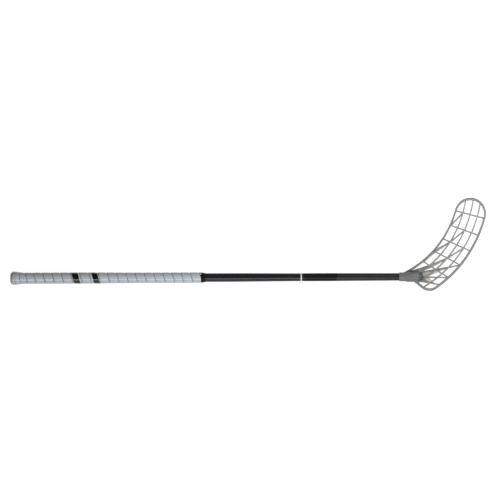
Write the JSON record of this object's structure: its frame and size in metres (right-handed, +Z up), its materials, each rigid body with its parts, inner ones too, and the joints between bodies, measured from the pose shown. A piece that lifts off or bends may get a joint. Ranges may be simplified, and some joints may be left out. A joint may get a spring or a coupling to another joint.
{
  "type": "floorball stick",
  "caption": "Straight tapered floorball stick with a wound soft grip, a flared butt cap and a hooked blade of open curved ribs that plugs onto the shaft.",
  "frame": {"origin": "centre of the flat end face of the butt cap, on the shaft's axis", "axes": "+X along the shaft towards the blade, +Y towards the side the blade's toe is on, +Z up with the stick lying on a floor and the blade's hollow side up"},
  "size_m": [1.1192, 0.2266, 0.0322],
  "materials": {
    "shaft_composite": "satin clear coat over dark fibre",
    "cap_rubber": "matte",
    "grip_foam": "soft, slightly sticky, with two dark printed bands",
    "collar_tape": "satin",
    "ring_film": "gloss",
    "panel_film": "gloss",
    "blade_plastic": "satin, slightly translucent smoky grey",
    "screw_steel": "zinc plated"
  },
  "bodies": {
    "root": {"shaft": "shaft_composite", "butt_cap": "cap_rubber", "grip_tape": "grip_foam", "grip_collar": "collar_tape", "ring_decal": "ring_film", "panel_decal": "panel_film", "blade": "blade_plastic", "blade_screws": "screw_steel"}
  },
  "joints": []
}
